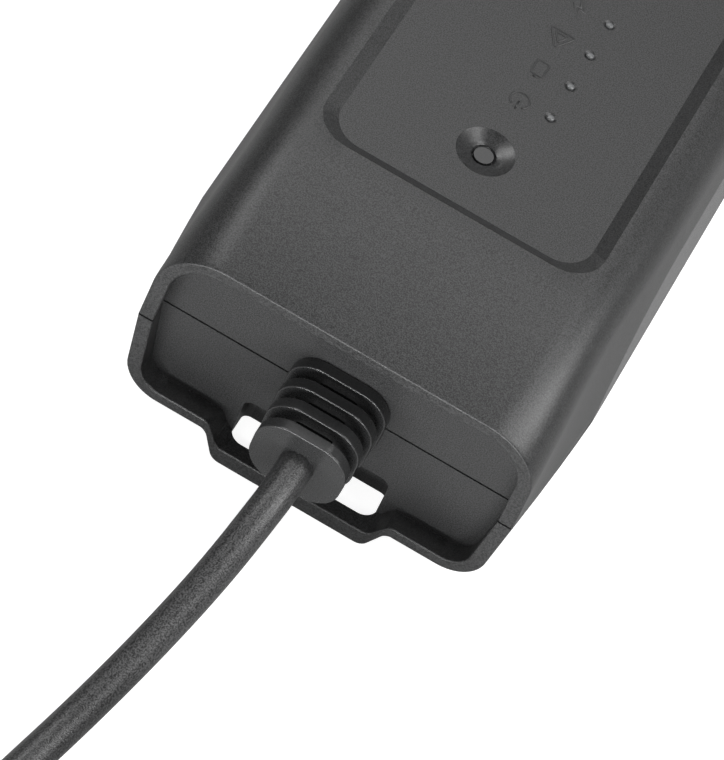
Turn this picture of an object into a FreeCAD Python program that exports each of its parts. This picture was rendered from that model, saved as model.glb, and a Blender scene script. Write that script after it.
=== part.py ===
"""Portable electric vehicle charger: control box with its mains lead and plug.

Lengths are millimetres. The housing is drawn in its own place: Y runs from the rim at the mains
end towards the far rim, Z from the parting plane of the two shells. It is then set down with its
back on Z = 0 and its middle over the origin. The lead and its plug are drawn where they lie.
"""
import FreeCAD, Part
import math
import os

V = FreeCAD.Vector

# Housing outline
body_length = 230.0
rim_half_width = 51.6
rim_top = 29.4
rim_bottom = 26.2
side_flare = 4.9
top_flare = 7.2
bottom_flare = 9.0
side_flare_length = 90.0
face_flare_length = 52.0
rim_top_corner = 16.0
rim_bottom_corner = 10.5
body_corner = 12.0
rim_top_draft = 1.0
rim_bottom_draft = 5.5
body_draft = 12.0
side_flat_half_width = 55.1
side_flat_draft = 7.5
edge_radius = 0.5

# Walls
side_wall = 4.0
face_wall = 3.4
hood_depth = 7.4
bulkhead = 3.0

# Parting line: a narrow gap shows all round, a seal lies in the lower shell
reveal_gap = 0.6
reveal_depth = 0.8
gasket_inset = 1.4
gasket_width = 1.3
gasket_depth = 1.4

# Stepped hanging bridge under the mains end, and the slot behind it
bridge_half_width = 21.3
bridge_foot_half_width = 25.6
bridge_radius = 3.5
bridge_wall = 5.2
bridge_run = 50.0
bridge_sink = 0.05
slot_half_width = 20.5
slot_start = 4.6
slot_end = 17.6
slot_near_corner = 4.0
slot_far_corner = 2.0
notch_corner = 3.0
notch_top = 17.0
pocket_wall = 2.5

# Sunk control panel
panel_half_width = 35.0
panel_start = 50.9
panel_end = 179.1
panel_corner = 8.5
panel_depth = 2.2
panel_bevel = 3.8
panel_floor = 3.0
panel_edge_radius = 0.4

# Dish, button and switch
dish_distance = 70.2
dish_radius = 7.6
dish_depth = 1.8
button_radius = 2.55
button_hole_radius = 2.75
button_bezel_radius = 3.25
button_bezel_depth = 0.5
button_rise = 0.3
button_flange_radius = 3.8
button_flange_height = 1.0
button_travel = 0.6
plunger_radius = 1.5
plunger_clearance = 0.15
plunger_well = 0.2
switch_size = 6.2
switch_height = 3.5

# Indicator lights
light_offset = 8.9
light_start = 90.7
light_pitch = 12.5
light_count = 4
light_radius = 1.0
light_clearance = 0.05
light_flange_radius = 2.0
light_flange_height = 1.0
light_stem_radius = 1.3
light_recess_radius = 1.7
light_recess_depth = 0.35
lamp_size = 2.0
lamp_height = 1.0

# Lead, boot and the opening that holds them
cord_radius = 4.5
bore_clearance = 0.05
boot_front = -15.55
boot_ring_count = 4
boot_ring_pitch = 6.5
boot_ring_depth = 3.3
boot_front_half_width = 12.2
boot_growth = 0.4
boot_flatness = 2.1
boot_corner = 8.1
boot_edge_radius = 0.35
boot_groove = 2.0
boot_slit_length = 10.0
boot_slit_width = 1.1
boot_slit_depth = 3.2
neck_half_width = 11.4
neck_clearance = 0.05
boot_flange_depth = 3.0
gland_collar_depth = 4.5
gland_bore_radius = 6.2

# Cable clamp
clamp_distance = 21.0
clamp_depth = 7.0
clamp_half_width = 14.0
clamp_height = 6.0
clamp_gap = 0.3
clamp_screw_offset = 9.5
tail_end = 31.0
wire_radius = 1.5

# Screws: shank radius, head radius, head height, driver recess
shell_screw = (1.5, 3.0, 2.4, 1.3)
small_screw = (1.25, 2.3, 1.8, 0.9)
thread_clearance = 0.05
shell_screw_length = 36.0
small_screw_length = 6.0
boss_radius = 4.8
screw_seat_depth = 26.0
screw_well_radius = 3.4
shell_screw_places = [(39.5, 27.0), (39.5, 115.0), (39.5, 203.0)]

# Main board and what it carries
board_half_width = 33.0
board_start = 42.0
board_end = 178.0
board_thickness = 1.6
board_height = 10.2
board_corner = 2.0
board_screw_inset = 5.0
standoff_radius = 3.2
block_depth = 14.0
block_height = 14.0
block_pitch = 9.0
block_entry_radius = 1.6
block_inset = 3.0
relay_size = (18.0, 30.0, 24.0)
relay_offset = 19.0
relay_distance = 98.0
sensor_radius = 14.0
sensor_bore = 8.0
sensor_height = 12.0
sensor_distance = 145.0
transformer_size = (22.0, 19.0, 15.0)
transformer_place = (-20.5, 80.0)
capacitor_radius = 6.3
capacitor_height = 21.0
capacitor_place = (0.0, 84.0)
filter_size = (18.0, 7.5, 13.5)
filter_places = [(21.0, 72.0), (21.0, 84.0)]
varistor_radius = 6.0
varistor_thickness = 4.5
varistor_place = (-24.0, 59.0)
fuse_radius = 2.6
fuse_length = 20.0
fuse_cap_length = 5.0
fuse_place = (21.0, 62.0)
chip_size = (12.0, 12.0, 1.5)
chip_place = (-23.0, 142.0)
buzzer_radius = 6.0
buzzer_height = 8.0
buzzer_bore = 1.0
buzzer_place = (24.0, 145.0)

# Indicator board, hung under the panel
indicator_left = -17.0
indicator_right = 19.0
indicator_start = 60.0
indicator_end = 144.0
indicator_drop = 5.8
indicator_screw_inset = 3.5
post_radius = 2.6
ribbon_width = 12.0
ribbon_thickness = 0.8
ribbon_distance = 160.0
ribbon_landing = 136.0

# Route of the lead as it lies, then a coil of the rest
cord_route = [
    (0.0, -130.55, 35.2), (0.0, -139.0, 35.2), (-0.9, -149.0, 33.6), (-2.3, -160.0, 29.6),
    (-4.3, -171.0, 24.8), (-7.2, -183.5, 18.9), (-10.4, -196.0, 13.4), (-13.8, -209.0, 9.1),
    (-17.6, -224.0, 6.4), (-21.0, -239.0, 5.2), (-23.0, -254.5, 5.5), (-23.0, -270.0, 5.5),
]
coil_radius = 50.0
coil_layers = 2
tie_thickness = 1.0
tie_width = 9.0
tie_clearance = 0.3
tie_angle = 310.0
plug_lead_route = [
    (-23.0, -270.0, 14.5), (-23.2, -282.0, 14.8), (-23.2, -293.0, 17.2), (-23.0, -304.0, 19.0),
    (-23.0, -314.0, 19.0),
]

# Round earthed mains plug
plug_radius = 19.0
plug_face_length = 13.0
plug_grip_radius = 14.5
plug_length = 46.0
plug_tail_radius = 9.0
plug_boot_length = 24.0
plug_boot_radius = 6.4
plug_boot_growth = 0.45
plug_ring_count = 5
pin_radius = 2.4
pin_length = 19.0
pin_pitch = 19.0
pin_tip_radius = 1.2
pin_root = 8.0
pin_root_radius = 3.4
contact_width = 6.0
contact_thickness = 1.0
contact_length = 11.0

# Lengths below this count as none when edges are picked for rounding
nothing = 0.001

back_depth = rim_bottom + bottom_flare
top_height = rim_top + top_flare
panel_level = top_height - panel_depth
panel_underside = panel_level - panel_floor
board_level = -back_depth + face_wall + board_height
board_top = board_level + board_thickness
indicator_top = panel_underside - indicator_drop
indicator_level = indicator_top - board_thickness
flat_lean = math.tan(math.radians(side_flat_draft))


def box(x0, x1, y0, y1, z0, z1):
    return Part.makeBox(x1 - x0, y1 - y0, z1 - z0, V(x0, y0, z0))


def post(radius, x, y, z0, z1):
    return Part.makeCylinder(radius, z1 - z0, V(x, y, z0))


def rounded_wire(corners, place):
    """Closed wire through corners (a, b, radius); place(a, b) puts a point in space."""
    stops = []
    for index, (a, b, radius) in enumerate(corners):
        corner = V(a, b, 0)
        before = corners[index - 1]
        after = corners[(index + 1) % len(corners)]
        back = (V(before[0], before[1], 0) - corner).normalize()
        ahead = (V(after[0], after[1], 0) - corner).normalize()
        if radius:
            half = back.getAngle(ahead) / 2
            reach = radius / math.tan(half)
            middle = (back + ahead).normalize() * (radius / math.sin(half) - radius)
            stops.append((corner + back * reach, corner + middle, corner + ahead * reach))
        else:
            stops.append((corner, None, corner))
    edges = []
    for index, (entry, middle, leave) in enumerate(stops):
        following = stops[(index + 1) % len(stops)][0]
        if middle:
            arc = Part.Arc(place(entry.x, entry.y), place(middle.x, middle.y), place(leave.x, leave.y))
            edges.append(arc.toShape())
        if leave.distanceToPoint(following) > 1e-6:
            edges.append(Part.makeLine(place(leave.x, leave.y), place(following.x, following.y)))
    return Part.Wire(edges)


def rounded_rectangle(x0, x1, y0, y1, radius, z):
    corners = [(x0, y0, radius), (x1, y0, radius), (x1, y1, radius), (x0, y1, radius)]
    return rounded_wire(corners, lambda a, b: V(a, b, z))


def oval(half_width, half_height, y):
    radius = min(boot_corner, half_width - 0.5, half_height - 0.5)
    corners = [(half_width, half_height, radius), (-half_width, half_height, radius),
               (-half_width, -half_height, radius), (half_width, -half_height, radius)]
    return rounded_wire(corners, lambda a, b: V(a, y, b))


def oval_block(half_width, y0, y1):
    """Solid oval bar along Y, flatter than wide by the flatness of the boot."""
    return Part.Face(oval(half_width, half_width - boot_flatness, y0)).extrude(V(0, y1 - y0, 0))


def screw(kind, length, x, y, seat, up):
    """Screw with its head's seat at a height; the shank runs up or down from there."""
    shank_radius, head_radius, head_height, recess_radius = kind
    way = 1.0 if up else -1.0
    shank = Part.makeCylinder(shank_radius, length, V(x, y, seat), V(0, 0, way))
    head = Part.makeCylinder(head_radius, head_height, V(x, y, seat), V(0, 0, -way))
    outside = V(x, y, seat - way * head_height)
    head = head.cut(Part.makeCylinder(recess_radius, head_height * 0.6, outside, V(0, 0, way)))
    return shank.fuse(head)


def unite(shapes):
    whole = shapes[0].multiFuse(shapes[1:]) if len(shapes) > 1 else shapes[0]
    return whole.removeSplitter()


def middle_of(edge):
    return edge.valueAt((edge.FirstParameter + edge.LastParameter) / 2)


def across(edge, *places):
    """Whether an edge lies in one of the planes across Y at the places given."""
    low, high = edge.BoundBox.YMin, edge.BoundBox.YMax
    return any(abs(low - y) < nothing and abs(high - y) < nothing for y in places)


def soften(shape, radius, chosen):
    """Round the edges that a test picks."""
    return shape.makeFillet(radius, [edge for edge in shape.Edges if chosen(edge)])


def touches(edge, form):
    """Whether the middle of an edge lies on a form."""
    return form.distToShape(Part.Vertex(middle_of(edge)))[0] < nothing


def rim_edge(edge):
    """Whether an edge runs round one of the rims, and not along the parting line."""
    return across(edge, 0.0, body_length) and abs(middle_of(edge).z) > nothing


def flare(distance, run):
    """Share of the flare that is reached at a distance behind the nearer rim."""
    return 1.0 - (1.0 - min(distance, run) / run) ** 2


def half_width_at(y):
    near = min(y, body_length - y)
    return rim_half_width + side_flare * flare(near, side_flare_length)


def lean_at(y, upper):
    """How far the sides draw in per millimetre of height; it grows with the flare."""
    near = min(y, body_length - y)
    rim_draft = rim_top_draft if upper else rim_bottom_draft
    draft = rim_draft + (body_draft - rim_draft) * flare(near, face_flare_length)
    return math.tan(math.radians(draft))


def corner_at(y, upper):
    near = min(y, body_length - y)
    rim_corner = rim_top_corner if upper else rim_bottom_corner
    return rim_corner + (body_corner - rim_corner) * flare(near, face_flare_length)


def height_at(y, upper):
    near = min(y, body_length - y)
    share = flare(near, face_flare_length)
    return rim_top + top_flare * share if upper else rim_bottom + bottom_flare * share


def section(y, upper, side_inset, face_inset):
    """Half outline of the housing above or below the parting plane, closed along that plane."""
    corner = corner_at(y, upper) - side_inset
    half = half_width_at(y) - side_inset
    height = height_at(y, upper) - face_inset
    sign = 1.0 if upper else -1.0
    shoulder = half - height * lean_at(y, upper)
    corners = [(half, 0.0, 0.0), (shoulder, height, corner), (-shoulder, height, corner), (-half, 0.0, 0.0)]
    return rounded_wire(corners, lambda a, b: V(a, y, sign * b))


def mirrored(shape):
    return shape.mirror(V(0, body_length / 2, 0), V(0, 1, 0))


def stations(start, end, count):
    """Evenly spaced places along a flare where the outline is drawn."""
    return [start + (end - start) * index / (count - 1) for index in range(count)]


def housing_form(upper, side_inset, face_inset, start):
    """Full half body: flared ends, whose faces level off before their sides do, and a straight middle."""
    def drawn(y):
        return section(y, upper, side_inset, face_inset)
    steep = Part.makeLoft([drawn(y) for y in stations(start, face_flare_length, 5)], True, False)
    gentle = Part.makeLoft([drawn(y) for y in stations(face_flare_length, side_flare_length, 3)], True, False)
    middle = Part.Face(drawn(side_flare_length)).extrude(V(0, body_length - 2 * side_flare_length, 0))
    return unite([steep, gentle, middle, mirrored(gentle), mirrored(steep)])


def hood_form(upper):
    """Space inside the open hood at the mains end, from just outside the rim to the end wall."""
    drawn = [section(y, upper, side_wall, face_wall) for y in (-1.0, hood_depth)]
    return Part.makeLoft(drawn, True, True)


def side_cutter(upper, inset):
    """What lies outside the flat sides of the body, or outside their inner faces."""
    sign = 1.0 if upper else -1.0
    reach = 2 * top_height
    low = (side_flat_half_width - inset, 0.0)
    high = (side_flat_half_width - inset - reach * flat_lean, sign * reach)
    far = side_flat_half_width + reach
    points = [V(low[0], -1, low[1]), V(high[0], -1, high[1]), V(far, -1, high[1]), V(far, -1, low[1])]
    wedge = Part.Face(Part.makePolygon(points + points[:1])).extrude(V(0, body_length + 2, 0))
    return wedge.fuse(wedge.mirror(V(0, 0, 0), V(1, 0, 0)))


def side_flat_start():
    """Where the flared side meets the flat one in the parting plane."""
    share = min((side_flat_half_width - rim_half_width) / side_flare, 1.0)
    return max(side_flare_length * (1.0 - math.sqrt(1.0 - share)), 2 * hood_depth)


def plan(inset, start):
    """Outline of the housing in the parting plane, drawn in from its sides and from its ends."""
    end = side_flat_start()
    widths = [(min(half_width_at(y), side_flat_half_width) - inset, y) for y in stations(start, end, 5)]
    edges = []
    for side in (1, -1):
        for turned in (False, True):
            points = [V(side * x, body_length - y if turned else y, 0) for x, y in widths]
            curve = Part.BSplineCurve()
            curve.interpolate(points)
            edges.append(curve.toShape())
        half = side * widths[-1][0]
        edges.append(Part.makeLine(V(half, end, 0), V(half, body_length - end, 0)))
    for y in (start, body_length - start):
        edges.append(Part.makeLine(V(widths[0][0], y, 0), V(-widths[0][0], y, 0)))
    return Part.Face(Part.Wire(Part.__sortEdges__(edges)))


def reveal_cutter():
    """Gap that shows along the parting line, left round a land that joins the shells."""
    slab = box(-80, 80, -5, body_length + 5, 0, reveal_gap)
    land = plan(reveal_depth, reveal_depth).extrude(V(0, 0, reveal_gap))
    mouth = half_width_at(0) - side_wall + reveal_depth
    floor = half_width_at(hood_depth) - side_wall + reveal_depth
    depth = hood_depth + reveal_depth
    points = [V(mouth, -1, 0), V(floor, depth, 0), V(-floor, depth, 0), V(-mouth, -1, 0)]
    hood = Part.Face(Part.makePolygon(points + points[:1])).extrude(V(0, 0, reveal_gap))
    return slab.cut(land.cut(hood.fuse(mirrored(hood))))


def gasket_form():
    start = hood_depth + (bulkhead - gasket_width) / 2
    outer = plan(gasket_inset, start).extrude(V(0, 0, -gasket_depth))
    inner = plan(gasket_inset + gasket_width, start + gasket_width).extrude(V(0, 0, -gasket_depth))
    return outer.cut(inner)


def neck_cutters():
    """Oval openings in both end walls that grip the boot and the gland."""
    near = oval_block(neck_half_width + neck_clearance, hood_depth - 1, hood_depth + bulkhead + 1)
    return near.fuse(mirrored(near))


def shell_screw_spots():
    return [(side * x, y) for x, y in shell_screw_places for side in (1, -1)]


def board_screw_spots():
    half = board_half_width - board_screw_inset
    ends = (board_start + board_screw_inset, board_end - board_screw_inset)
    return [(side * half, y) for y in ends for side in (1, -1)]


def indicator_screw_spots():
    sides = (indicator_left + indicator_screw_inset, indicator_right - indicator_screw_inset)
    ends = (indicator_start + indicator_screw_inset, indicator_end - indicator_screw_inset)
    return [(x, y) for y in ends for x in sides]


def light_spots():
    return [(light_offset, light_start + light_pitch * index) for index in range(light_count)]


def panel_cutter():
    """Sunk panel with a bevelled border."""
    above = 0.5
    spread = panel_bevel * (panel_depth + above) / panel_depth
    low = rounded_rectangle(-panel_half_width, panel_half_width, panel_start, panel_end,
                            panel_corner, panel_level)
    high = rounded_rectangle(-panel_half_width - spread, panel_half_width + spread, panel_start - spread,
                             panel_end + spread, panel_corner + spread * 0.4, top_height + above)
    return Part.makeLoft([low, high], True, True)


def dish_cutter():
    radius = (dish_radius ** 2 + dish_depth ** 2) / (2 * dish_depth)
    return Part.makeSphere(radius, V(0, dish_distance, panel_level - dish_depth + radius))


def button_hole():
    dish_bottom = panel_level - dish_depth
    hole = post(button_hole_radius, 0, dish_distance, panel_underside - 1, top_height)
    bezel = Part.makeCone(button_hole_radius, button_bezel_radius, button_bezel_depth,
                          V(0, dish_distance, dish_bottom - button_bezel_depth))
    above = post(button_bezel_radius, 0, dish_distance, dish_bottom, dish_bottom + 0.5)
    return hole.fuse(bezel).fuse(above)


def upper_shell():
    outer = soften(housing_form(True, 0.0, 0.0, 0.0).cut(side_cutter(True, 0.0)), edge_radius, rim_edge)
    inside = hood_depth + bulkhead
    cavity = housing_form(True, side_wall, face_wall, inside)
    cavity = cavity.common(box(-80, 80, inside, body_length - inside, 0, top_height))
    cavity = cavity.cut(side_cutter(True, side_wall))
    hoods = hood_form(True).fuse(mirrored(hood_form(True)))
    shell = outer.cut(cavity).cut(hoods)
    margin = panel_bevel + face_wall / 2
    pad = box(-panel_half_width - margin, panel_half_width + margin, panel_start - margin,
              panel_end + margin, panel_underside, top_height - face_wall / 2)
    bosses = [post(boss_radius, x, y, 0, top_height) for x, y in shell_screw_spots()]
    posts = [post(post_radius, x, y, indicator_top, panel_level) for x, y in indicator_screw_spots()]
    shell = unite([shell, pad] + [boss.common(outer) for boss in bosses] + posts)
    shell = soften(shell, edge_radius, lambda edge: rim_edge(edge) and touches(edge, hoods))
    panel = panel_cutter()
    border = top_height - panel_depth / 2
    shell = soften(shell.cut(panel), panel_edge_radius,
                   lambda edge: edge.BoundBox.ZMin > border and touches(edge, panel))
    shell = shell.cut(dish_cutter()).cut(button_hole())
    shell = shell.cut(reveal_cutter()).cut(neck_cutters())
    pilot = shell_screw[0] + thread_clearance
    depth = shell_screw_length - screw_seat_depth + 1
    holes = [post(pilot, x, y, -1, depth) for x, y in shell_screw_spots()]
    small_pilot = small_screw[0] + thread_clearance
    holes += [post(small_pilot, x, y, indicator_top - 1, indicator_top + small_screw_length)
              for x, y in indicator_screw_spots()]
    holes += [post(light_radius + light_clearance, x, y, panel_underside - 1, top_height)
              for x, y in light_spots()]
    holes += [Part.makeCone(light_radius, light_recess_radius, light_recess_depth,
                            V(x, y, panel_level - light_recess_depth)) for x, y in light_spots()]
    for hole in holes:
        shell = shell.cut(hole)
    return shell.removeSplitter()


def bridge_block(wall, lift, y0, y1):
    """Step that runs under the mains end, in line with the back of the body."""
    foot = bridge_foot_half_width
    flat = bridge_half_width
    low = -back_depth + wall
    high = -rim_bottom + lift + bridge_sink
    side = foot + bridge_radius * math.tan(math.atan2(high - low, foot - flat) / 2)
    corners = [(-side, high, 0), (-foot, high, bridge_radius), (-flat, low, bridge_radius),
               (flat, low, bridge_radius), (foot, high, bridge_radius), (side, high, 0),
               (side, high + 1, 0), (-side, high + 1, 0)]
    wire = rounded_wire(corners, lambda a, b: V(a, y0, b))
    return Part.Face(wire).extrude(V(0, y1 - y0, 0))


def slot_cutter():
    """Hanging slot through the base, with the arched notch above it in the end wall."""
    corners = [(slot_half_width, -notch_top, notch_corner), (-slot_half_width, -notch_top, notch_corner),
               (-slot_half_width, -back_depth - 2, 0), (slot_half_width, -back_depth - 2, 0)]
    arch = Part.Face(rounded_wire(corners, lambda a, b: V(a, slot_start, b)))
    arch = arch.extrude(V(0, slot_end - slot_start, 0))
    corners = [(-slot_half_width, slot_start, slot_near_corner), (slot_half_width, slot_start, slot_near_corner),
               (slot_half_width, slot_end, slot_far_corner), (-slot_half_width, slot_end, slot_far_corner)]
    hole = Part.Face(rounded_wire(corners, lambda a, b: V(a, b, -back_depth - 1))).extrude(V(0, 0, back_depth))
    return arch.common(hole)


def pocket_block():
    """Closed pocket behind the notch, which keeps the slot apart from the inside of the box."""
    side = slot_half_width + pocket_wall
    return box(-side, side, hood_depth + bulkhead / 2, slot_end + pocket_wall,
               -back_depth + face_wall / 2, -notch_top + pocket_wall)


def clamp_rib():
    """Rib of the lower shell on which the lead's end lies."""
    rib = box(-clamp_half_width, clamp_half_width, clamp_distance, clamp_distance + clamp_depth,
              -back_depth + face_wall / 2, -clamp_gap)
    seat = Part.makeCylinder(cord_radius, clamp_depth + 2, V(0, clamp_distance - 1, 0), V(0, 1, 0))
    return rib.cut(seat)


def clamp_screw_spots():
    middle = clamp_distance + clamp_depth / 2
    return [(clamp_screw_offset, middle), (-clamp_screw_offset, middle)]


def lower_shell():
    outer = soften(housing_form(False, 0.0, 0.0, 0.0).cut(side_cutter(False, 0.0)), edge_radius, rim_edge)
    inside = hood_depth + bulkhead
    cavity = housing_form(False, side_wall, face_wall, inside)
    cavity = cavity.common(box(-80, 80, inside, body_length - inside, -back_depth, 0))
    cavity = cavity.cut(side_cutter(False, side_wall))
    hoods = hood_form(False).fuse(mirrored(hood_form(False)))
    hoods = hoods.fuse(bridge_block(bridge_wall, face_wall, -1.0, hood_depth))
    bridge = soften(bridge_block(0.0, 0.0, 0.0, bridge_run), edge_radius, lambda edge: across(edge, 0.0))
    floor_level = -back_depth + face_wall
    bosses = [post(boss_radius, x, y, -back_depth, 0).common(outer) for x, y in shell_screw_spots()]
    standoffs = [post(standoff_radius, x, y, floor_level - face_wall / 2, board_level)
                 for x, y in board_screw_spots()]
    shell = soften(outer.cut(cavity).fuse(bridge).cut(hoods), edge_radius,
                   lambda edge: rim_edge(edge) and touches(edge, hoods))
    shell = unite([shell, pocket_block(), clamp_rib()] + bosses + standoffs)
    shell = shell.cut(slot_cutter()).cut(neck_cutters()).cut(gasket_form())
    pilot = small_screw[0] + thread_clearance
    holes = [post(pilot, x, y, board_level - small_screw_length, board_level + 1) for x, y in board_screw_spots()]
    holes += [post(pilot, x, y, -clamp_screw_length(), 1) for x, y in clamp_screw_spots()]
    clearance = shell_screw[0] + 2 * thread_clearance
    for x, y in shell_screw_spots():
        holes.append(post(clearance, x, y, -back_depth - 1, 1))
        holes.append(post(screw_well_radius, x, y, -back_depth - 1, -screw_seat_depth))
    for hole in holes:
        shell = shell.cut(hole)
    return shell.removeSplitter()


def clamp_screw_length():
    return clamp_height + 2 * small_screw_length


def boot_outline(ring):
    """Half width of one of the boot's rings, counted from its front end."""
    return boot_front_half_width + boot_growth * ring


def strain_relief():
    """Oval ribbed boot, gripped in the end wall by its neck."""
    parts = []
    for ring in range(boot_ring_count):
        front = boot_front + ring * boot_ring_pitch
        last = ring == boot_ring_count - 1
        back = hood_depth if last else front + boot_ring_depth
        block = oval_block(boot_outline(ring), front, back)
        parts.append(soften(block, boot_edge_radius, lambda edge: across(edge, front, back)))
        if not last:
            core = oval_block(boot_outline(ring) - boot_groove, back, front + boot_ring_pitch)
            middle = (back + front + boot_ring_pitch) / 2
            top = boot_outline(ring) - boot_flatness - boot_groove
            half = boot_slit_width / 2
            for z0, z1 in ((top - boot_slit_depth, top + 1), (-top - 1, -top + boot_slit_depth)):
                core = core.cut(box(-boot_slit_length / 2, boot_slit_length / 2,
                                    middle - half, middle + half, z0, z1))
            parts.append(core)
    inner = hood_depth + bulkhead
    parts.append(oval_block(neck_half_width, hood_depth, inner))
    parts.append(oval_block(boot_outline(boot_ring_count - 1), inner, inner + boot_flange_depth))
    length = inner + boot_flange_depth - boot_front + 2
    bore = Part.makeCylinder(cord_radius + bore_clearance, length, V(0, boot_front - 1, 0), V(0, 1, 0))
    return unite(parts).cut(bore)


def output_gland():
    """Bushing for the vehicle lead in the far end wall, between the two shells."""
    inner = hood_depth + bulkhead
    collar = oval_block(boot_outline(1), hood_depth - gland_collar_depth, hood_depth)
    neck = oval_block(neck_half_width, hood_depth, inner)
    flange = oval_block(boot_outline(1), inner, inner + boot_flange_depth)
    bore = Part.makeCylinder(gland_bore_radius, body_length, V(0, -1, 0), V(0, 1, 0))
    return mirrored(unite([collar, neck, flange]).cut(bore))


def shell_gasket():
    return gasket_form().cut(neck_cutters())


def mains_lead_tail():
    return Part.makeCylinder(cord_radius, tail_end - boot_front, V(0, boot_front, 0), V(0, 1, 0))


def cable_clamp():
    bar = box(-clamp_half_width, clamp_half_width, clamp_distance, clamp_distance + clamp_depth,
              clamp_gap, clamp_height)
    seat = Part.makeCylinder(cord_radius, clamp_depth + 2, V(0, clamp_distance - 1, 0), V(0, 1, 0))
    bar = bar.cut(seat)
    for x, y in clamp_screw_spots():
        bar = bar.cut(post(small_screw[0] + thread_clearance, x, y, -1, clamp_height + 1))
    return bar


def main_board():
    outline = rounded_rectangle(-board_half_width, board_half_width, board_start, board_end,
                                board_corner, board_level)
    board = Part.Face(outline).extrude(V(0, 0, board_thickness))
    for x, y in board_screw_spots():
        board = board.cut(post(small_screw[0] + thread_clearance, x, y, board_level - 1, board_top + 1))
    return board


def indicator_board():
    outline = rounded_rectangle(indicator_left, indicator_right, indicator_start, indicator_end,
                                board_corner, indicator_level)
    board = Part.Face(outline).extrude(V(0, 0, board_thickness))
    for x, y in indicator_screw_spots():
        board = board.cut(post(small_screw[0] + thread_clearance, x, y, indicator_level - 1, indicator_top + 1))
    return board


def terminal_block(poles, face, way):
    """Row of screw terminals; the wires enter at the face, along the way given."""
    half = poles * block_pitch / 2
    y0, y1 = sorted((face, face + way * block_depth))
    block = box(-half, half, y0, y1, board_top, board_top + block_height)
    for pole in range(poles):
        x = (pole - (poles - 1) / 2) * block_pitch
        entry = Part.makeCylinder(block_entry_radius, block_depth / 2,
                                  V(x, face, board_top + block_height / 2), V(0, way, 0))
        well = post(block_pitch / 4, x, face + way * block_depth / 2,
                    board_top + block_height * 0.65, board_top + block_height + 1)
        block = block.cut(entry).cut(well)
    return block


def wire_ends():
    """Where each mains core leaves the lead and where its terminal is."""
    level = board_top + block_height / 2
    names = ("live_wire", "earth_wire", "neutral_wire")
    ends = {}
    for index, name in enumerate(names):
        side = index - 1
        ends[name] = (side * (cord_radius - wire_radius) * 0.95, side * block_pitch, level)
    return ends


def tube(route, radius, name):
    """Round tube along straight runs joined by tangent arcs."""
    points = [V(*point) for point in route]
    edges = []
    start = points[0]
    radii = []
    for before, corner, after in zip(points, points[1:], points[2:]):
        back = before - corner
        ahead = after - corner
        shorter = min(back.Length, ahead.Length)
        turn = math.pi - back.getAngle(ahead)
        reach = 0.45 * shorter
        radii.append(reach / math.tan(turn / 2))
        back.normalize()
        ahead.normalize()
        entry = corner + back * reach
        leave = corner + ahead * reach
        middle = (back + ahead).normalize() * (radii[-1] / math.cos(turn / 2) - radii[-1])
        edges.append(Part.makeLine(start, entry))
        edges.append(Part.Arc(entry, corner + middle, leave).toShape())
        start = leave
    edges.append(Part.makeLine(start, points[-1]))
    path = Part.Wire(edges)
    profile = Part.Wire(Part.makeCircle(radius, points[0], points[1] - points[0]))
    solid = path.makePipeShell([profile], True, False)
    expected = math.pi * radius ** 2 * path.Length
    print(name, "radii", [round(value) for value in radii], "length", round(path.Length, 1),
          "volume share", round(solid.Volume / expected, 4))
    return solid


def core_wire(name):
    start_x, end_x, level = wire_ends()[name]
    route = [(start_x, tail_end, 0), (start_x, tail_end + 4.0, 0), (end_x, board_start - 3.0, level + 0.4),
             (end_x, board_start + block_inset, level), (end_x, board_start + block_inset + 3.0, level)]
    return tube(route, wire_radius, name)


def push_button():
    """Cap, flange that keeps it in the shell, and the stem that presses the switch."""
    top = panel_level - dish_depth + button_rise
    seat = panel_underside - button_flange_height
    cap = post(button_radius, 0, dish_distance, seat, top)
    flange = post(button_flange_radius, 0, dish_distance, seat, panel_underside)
    return cap.fuse(flange).removeSplitter()


def switch_plunger():
    """Stem under the button, with room for the button's travel below it."""
    seat = panel_underside - button_flange_height
    foot = indicator_top + 2 * plunger_well + button_travel
    return post(plunger_radius, 0, dish_distance, foot, seat)


def button_switch():
    half = switch_size / 2
    body = box(-half, half, dish_distance - half, dish_distance + half, indicator_top,
               indicator_top + switch_height)
    return body.cut(post(plunger_radius + plunger_clearance, 0, dish_distance, indicator_top + plunger_well,
                         top_height))


def light_pipes():
    """Clear pins from the lamps up to the panel."""
    pipes = []
    lamp_top = indicator_top + lamp_height
    for x, y in light_spots():
        seat = panel_underside - light_flange_height
        stem = post(light_stem_radius, x, y, lamp_top, seat)
        flange = post(light_flange_radius, x, y, seat, panel_underside)
        tip = post(light_radius, x, y, panel_underside, panel_level)
        pipes.append(stem.fuse(flange).fuse(tip).removeSplitter())
    return Part.makeCompound(pipes)


def indicator_lights():
    half = lamp_size / 2
    lamps = [box(x - half, x + half, y - half, y + half, indicator_top, indicator_top + lamp_height)
             for x, y in light_spots()]
    return Part.makeCompound(lamps)


def on_board(size, place):
    width, depth, height = size
    return box(place[0] - width / 2, place[0] + width / 2, place[1] - depth / 2, place[1] + depth / 2,
               board_top, board_top + height)


def relay(side):
    body = on_board(relay_size, (side * relay_offset, relay_distance + relay_size[1] / 2))
    return body.makeFillet(1.0, [edge for edge in body.Edges if edge.BoundBox.ZLength > 1])


def leakage_sensor():
    ring = post(sensor_radius, 0, sensor_distance, board_top, board_top + sensor_height)
    ring = ring.cut(post(sensor_bore, 0, sensor_distance, board_top - 1, board_top + sensor_height + 1))
    return ring.makeFillet(1.5, [edge for edge in ring.Edges if edge.BoundBox.ZMin > board_top + 1])


def supply_transformer():
    core = on_board(transformer_size, transformer_place)
    width, depth, height = transformer_size
    winding = on_board((width * 0.6, depth + 6.0, height * 0.8), transformer_place)
    return core.fuse(winding).removeSplitter()


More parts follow.
